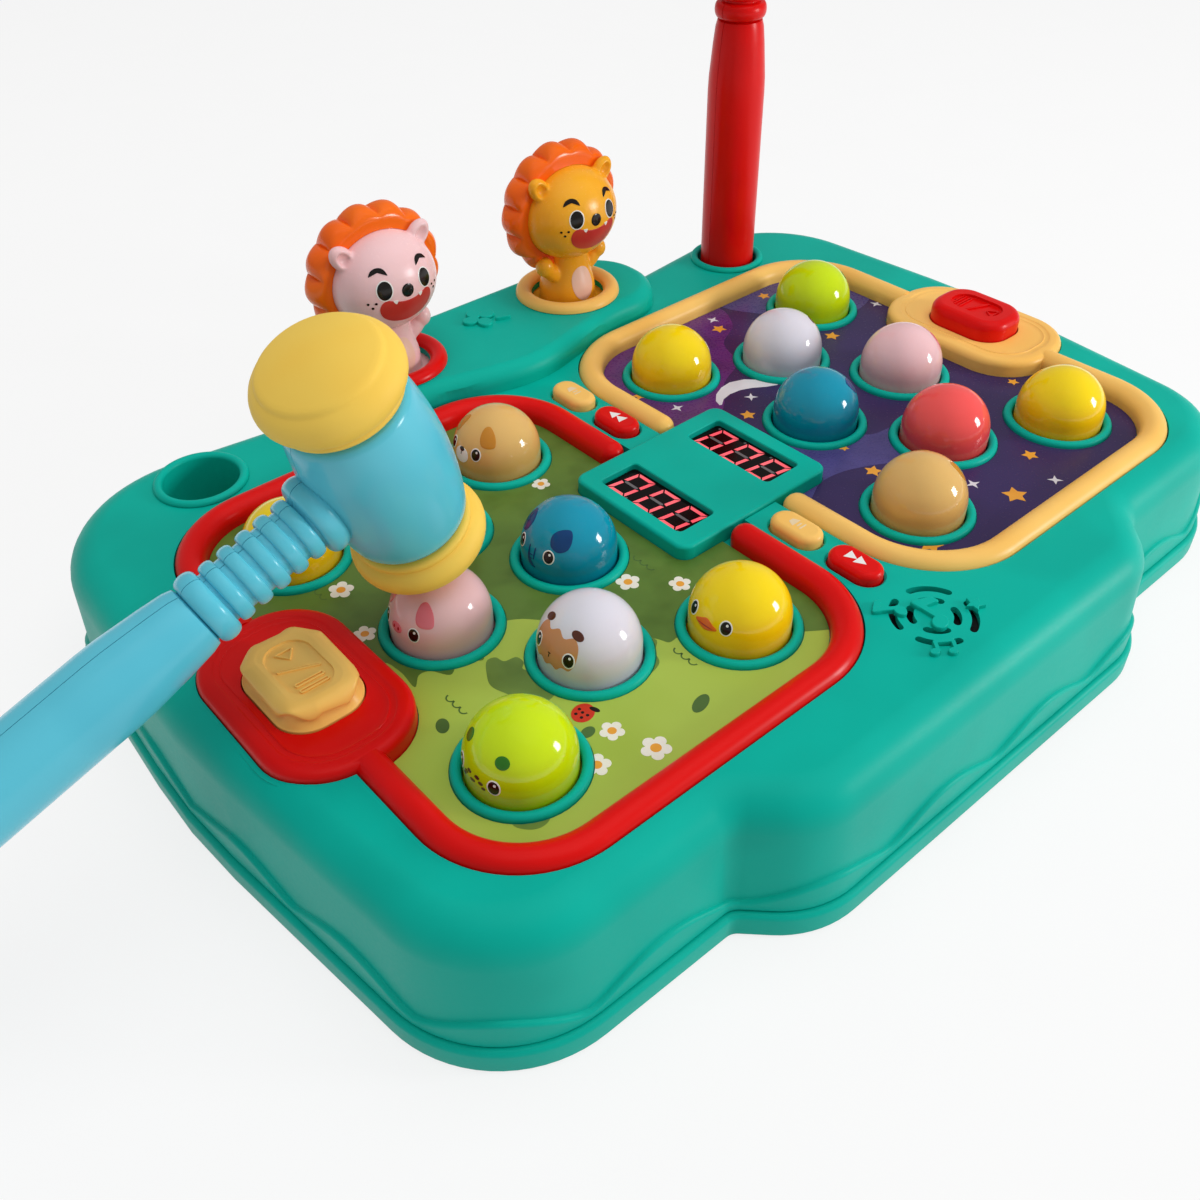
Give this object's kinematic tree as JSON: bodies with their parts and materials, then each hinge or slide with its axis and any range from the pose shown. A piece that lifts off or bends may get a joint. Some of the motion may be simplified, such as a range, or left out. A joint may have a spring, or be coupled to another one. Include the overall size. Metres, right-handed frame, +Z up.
{
  "type": "whack-a-mole toy",
  "caption": "Table-top whack-a-mole toy for two: wavy-edged body, two fields of pop-up animal domes, two lions, score display, start and setting buttons, two soft-capped hammers.",
  "frame": {"origin": "middle of the body's flat underside", "axes": "+Z up, +X from the day field to the night field, +Y towards the lions"},
  "size_m": [0.5448, 0.312, 0.2518],
  "materials": {
    "teal": "satin",
    "red": "gloss",
    "cream": "gloss",
    "sky": "satin",
    "butter": "matte",
    "yellow": "gloss",
    "lime": "gloss",
    "white": "gloss",
    "blue": "gloss",
    "pink": "gloss",
    "coral": "gloss",
    "tan": "gloss",
    "orange": "satin",
    "blush": "satin",
    "amber": "satin",
    "meadow": "printed",
    "night": "printed",
    "glass": "gloss",
    "board": "matte",
    "black": "matte",
    "rubber": "matte",
    "steel": "satin"
  },
  "bodies": {
    "body": {"base_tray": "teal", "top_cover": "teal", "score_housing": "teal", "speaker": "black", "main_board": "board", "front_left_foot": "rubber", "front_right_foot": "rubber", "rear_left_foot": "rubber", "rear_right_foot": "rubber", "day_sheet": "meadow", "night_sheet": "night", "red_frame": "red", "cream_frame": "cream", "day_score_window": "glass", "night_score_window": "glass", "day_switch_board": "board", "night_switch_board": "board", "pink_lion_ring": "red", "amber_lion_ring": "cream", "pink_lion_spring": "steel", "amber_lion_spring": "steel", "empty_socket_cup": "teal", "hammer_socket_cup": "teal"},
    "day_frog": {"day_frog_dome": "lime"},
    "day_chick": {"day_chick_dome": "yellow"},
    "day_duck": {"day_duck_dome": "yellow"},
    "day_dog": {"day_dog_dome": "tan"},
    "day_sheep": {"day_sheep_dome": "white"},
    "day_crab": {"day_crab_dome": "coral"},
    "day_pig": {"day_pig_dome": "pink"},
    "day_elephant": {"day_elephant_dome": "blue"},
    "night_frog": {"night_frog_dome": "lime"},
    "night_chick": {"night_chick_dome": "yellow"},
    "night_duck": {"night_duck_dome": "yellow"},
    "night_dog": {"night_dog_dome": "tan"},
    "night_sheep": {"night_sheep_dome": "white"},
    "night_crab": {"night_crab_dome": "coral"},
    "night_pig": {"night_pig_dome": "pink"},
    "night_elephant": {"night_elephant_dome": "blue"},
    "day_start": {"day_start_button": "cream"},
    "night_start": {"night_start_button": "red"},
    "front_outer": {"front_outer_button": "red"},
    "front_inner": {"front_inner_button": "cream"},
    "rear_inner": {"rear_inner_button": "red"},
    "rear_outer": {"rear_outer_button": "cream"},
    "pink_lion": {"pink_lion_body": "blush", "pink_lion_mane": "orange"},
    "amber_lion": {"amber_lion_body": "amber", "amber_lion_mane": "orange"},
    "blue_hammer": {"blue_hammer_shell_left": "sky", "blue_hammer_shell_right": "sky", "blue_hammer_cap_front": "butter", "blue_hammer_cap_back": "butter"},
    "red_hammer": {"red_hammer_shell_left": "red", "red_hammer_shell_right": "red", "red_hammer_cap_front": "butter", "red_hammer_cap_back": "butter"},
    "battery_cover": {"battery_door": "teal", "battery_door_screw": "steel"},
    "switch": {"power_switch": "black"}
  },
  "joints": [
    {"name": "day_frog_press", "type": "slide", "parent": "body", "child": "day_frog", "axis": [0, 0, -1], "range_m": [0, 0.003], "stiffness_N_per_m": 400, "springref_m": -0.003},
    {"name": "day_chick_press", "type": "slide", "parent": "body", "child": "day_chick", "axis": [0, 0, -1], "range_m": [0, 0.003], "stiffness_N_per_m": 400, "springref_m": -0.003},
    {"name": "day_duck_press", "type": "slide", "parent": "body", "child": "day_duck", "axis": [0, 0, -1], "range_m": [0, 0.003], "stiffness_N_per_m": 400, "springref_m": -0.003},
    {"name": "day_dog_press", "type": "slide", "parent": "body", "child": "day_dog", "axis": [0, 0, -1], "range_m": [0, 0.003], "stiffness_N_per_m": 400, "springref_m": -0.003},
    {"name": "day_sheep_press", "type": "slide", "parent": "body", "child": "day_sheep", "axis": [0, 0, -1], "range_m": [0, 0.003], "stiffness_N_per_m": 400, "springref_m": -0.003},
    {"name": "day_crab_press", "type": "slide", "parent": "body", "child": "day_crab", "axis": [0, 0, -1], "range_m": [0, 0.003], "stiffness_N_per_m": 400, "springref_m": -0.003},
    {"name": "day_pig_press", "type": "slide", "parent": "body", "child": "day_pig", "axis": [0, 0, -1], "range_m": [0, 0.003], "stiffness_N_per_m": 400, "springref_m": -0.003},
    {"name": "day_elephant_press", "type": "slide", "parent": "body", "child": "day_elephant", "axis": [0, 0, -1], "range_m": [0, 0.003], "stiffness_N_per_m": 400, "springref_m": -0.003},
    {"name": "night_frog_press", "type": "slide", "parent": "body", "child": "night_frog", "axis": [0, 0, -1], "range_m": [0, 0.003], "stiffness_N_per_m": 400, "springref_m": -0.003},
    {"name": "night_chick_press", "type": "slide", "parent": "body", "child": "night_chick", "axis": [0, 0, -1], "range_m": [0, 0.003], "stiffness_N_per_m": 400, "springref_m": -0.003},
    {"name": "night_duck_press", "type": "slide", "parent": "body", "child": "night_duck", "axis": [0, 0, -1], "range_m": [0, 0.003], "stiffness_N_per_m": 400, "springref_m": -0.003},
    {"name": "night_dog_press", "type": "slide", "parent": "body", "child": "night_dog", "axis": [0, 0, -1], "range_m": [0, 0.003], "stiffness_N_per_m": 400, "springref_m": -0.003},
    {"name": "night_sheep_press", "type": "slide", "parent": "body", "child": "night_sheep", "axis": [0, 0, -1], "range_m": [0, 0.003], "stiffness_N_per_m": 400, "springref_m": -0.003},
    {"name": "night_crab_press", "type": "slide", "parent": "body", "child": "night_crab", "axis": [0, 0, -1], "range_m": [0, 0.003], "stiffness_N_per_m": 400, "springref_m": -0.003},
    {"name": "night_pig_press", "type": "slide", "parent": "body", "child": "night_pig", "axis": [0, 0, -1], "range_m": [0, 0.003], "stiffness_N_per_m": 400, "springref_m": -0.003},
    {"name": "night_elephant_press", "type": "slide", "parent": "body", "child": "night_elephant", "axis": [0, 0, -1], "range_m": [0, 0.003], "stiffness_N_per_m": 400, "springref_m": -0.003},
    {"name": "day_start_press", "type": "slide", "parent": "body", "child": "day_start", "axis": [0, 0, -1], "range_m": [0, 0.002], "stiffness_N_per_m": 500, "springref_m": -0.003},
    {"name": "night_start_press", "type": "slide", "parent": "body", "child": "night_start", "axis": [0, 0, -1], "range_m": [0, 0.002], "stiffness_N_per_m": 500, "springref_m": -0.003},
    {"name": "front_outer_press", "type": "slide", "parent": "body", "child": "front_outer", "axis": [0, 0, -1], "range_m": [0, 0.0015], "stiffness_N_per_m": 300, "springref_m": -0.002},
    {"name": "front_inner_press", "type": "slide", "parent": "body", "child": "front_inner", "axis": [0, 0, -1], "range_m": [0, 0.0015], "stiffness_N_per_m": 300, "springref_m": -0.002},
    {"name": "rear_inner_press", "type": "slide", "parent": "body", "child": "rear_inner", "axis": [0, 0, -1], "range_m": [0, 0.0015], "stiffness_N_per_m": 300, "springref_m": -0.002},
    {"name": "rear_outer_press", "type": "slide", "parent": "body", "child": "rear_outer", "axis": [0, 0, -1], "range_m": [0, 0.0015], "stiffness_N_per_m": 300, "springref_m": -0.002},
    {"name": "pink_lion_press", "type": "slide", "parent": "body", "child": "pink_lion", "axis": [0, 0, -1], "range_m": [0, 0.009], "stiffness_N_per_m": 200, "springref_m": -0.012, "deforming": ["pink_lion_spring"]},
    {"name": "amber_lion_press", "type": "slide", "parent": "body", "child": "amber_lion", "axis": [0, 0, -1], "range_m": [0, 0.009], "stiffness_N_per_m": 200, "springref_m": -0.012, "deforming": ["amber_lion_spring"]},
    {"name": "blue_hammer_lift", "type": "slide", "parent": "body", "child": "blue_hammer", "axis": [0, 0, 1], "range_m": [0, 0.15]},
    {"name": "red_hammer_lift", "type": "slide", "parent": "body", "child": "red_hammer", "axis": [0, 0, 1], "range_m": [0, 0.15]},
    {"name": "battery_cover_off", "type": "slide", "parent": "body", "child": "battery_cover", "axis": [0, 0, -1], "range_m": [0, 0.03]},
    {"name": "switch_slide", "type": "slide", "parent": "body", "child": "switch", "axis": [0, 1, 0], "range_m": [0, 0.004]}
  ]
}
